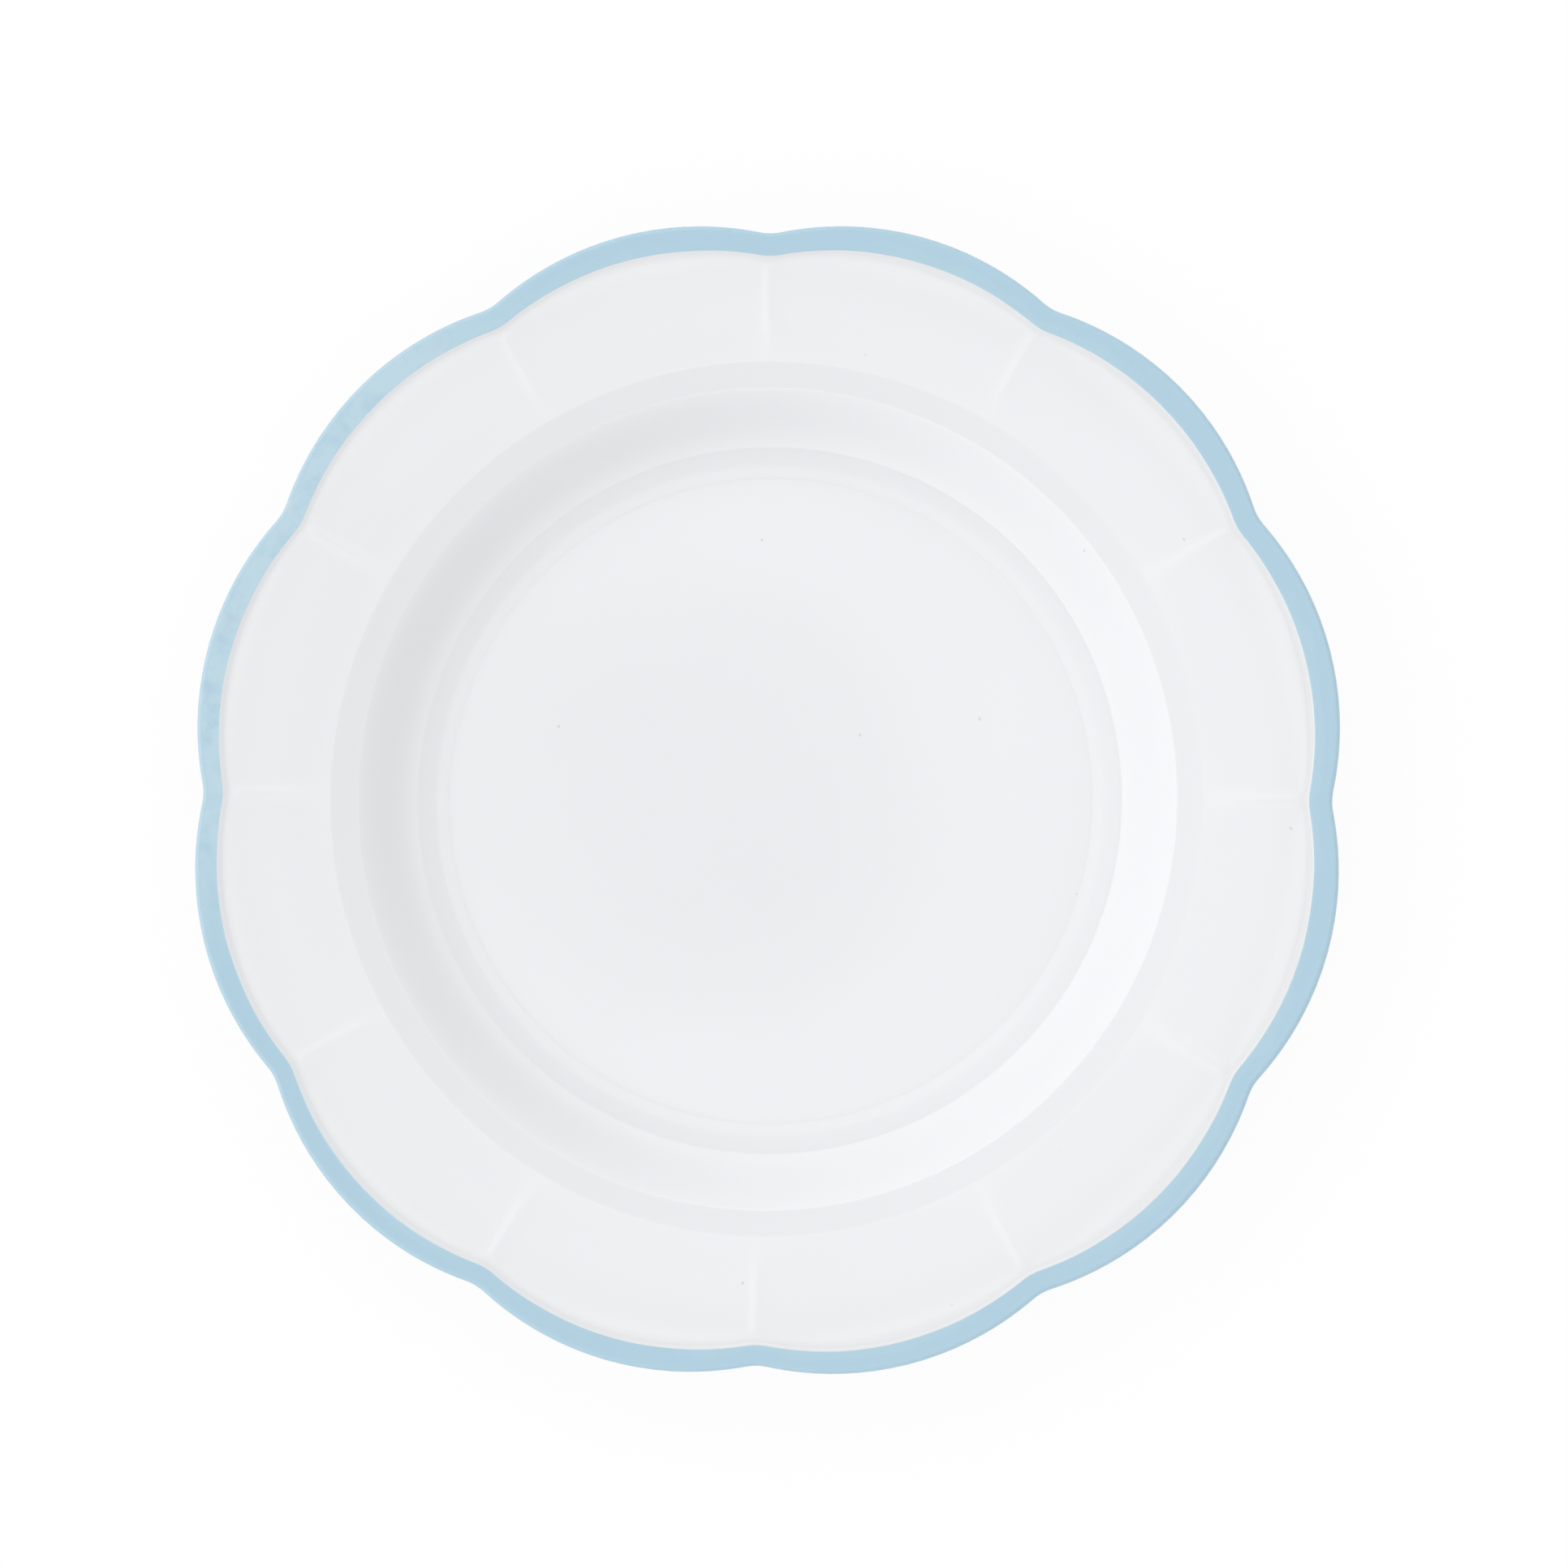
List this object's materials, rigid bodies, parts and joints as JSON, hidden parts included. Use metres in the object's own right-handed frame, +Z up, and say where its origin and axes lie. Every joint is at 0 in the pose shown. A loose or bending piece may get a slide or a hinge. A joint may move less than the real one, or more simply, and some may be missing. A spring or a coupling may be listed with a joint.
{
  "type": "charger plate",
  "caption": "Glazed ceramic charger plate with a lobed rim, a coloured band on its lip, fine radial ridges, a shallow round well and a foot ring, to stand under a dinner plate.",
  "frame": {"origin": "centre of the foot ring, on the table", "axes": "+Z up out of the well, +X through a notch of the rim"},
  "size_m": [0.3246, 0.3246, 0.0255],
  "materials": {
    "bare_clay": "matte",
    "white_glaze": "gloss",
    "blue_glaze": "gloss"
  },
  "bodies": {
    "root": {"ceramic_body": "bare_clay", "face_glaze": "white_glaze", "rim_band": "blue_glaze", "back_glaze": "white_glaze", "base_glaze": "white_glaze"}
  },
  "joints": []
}
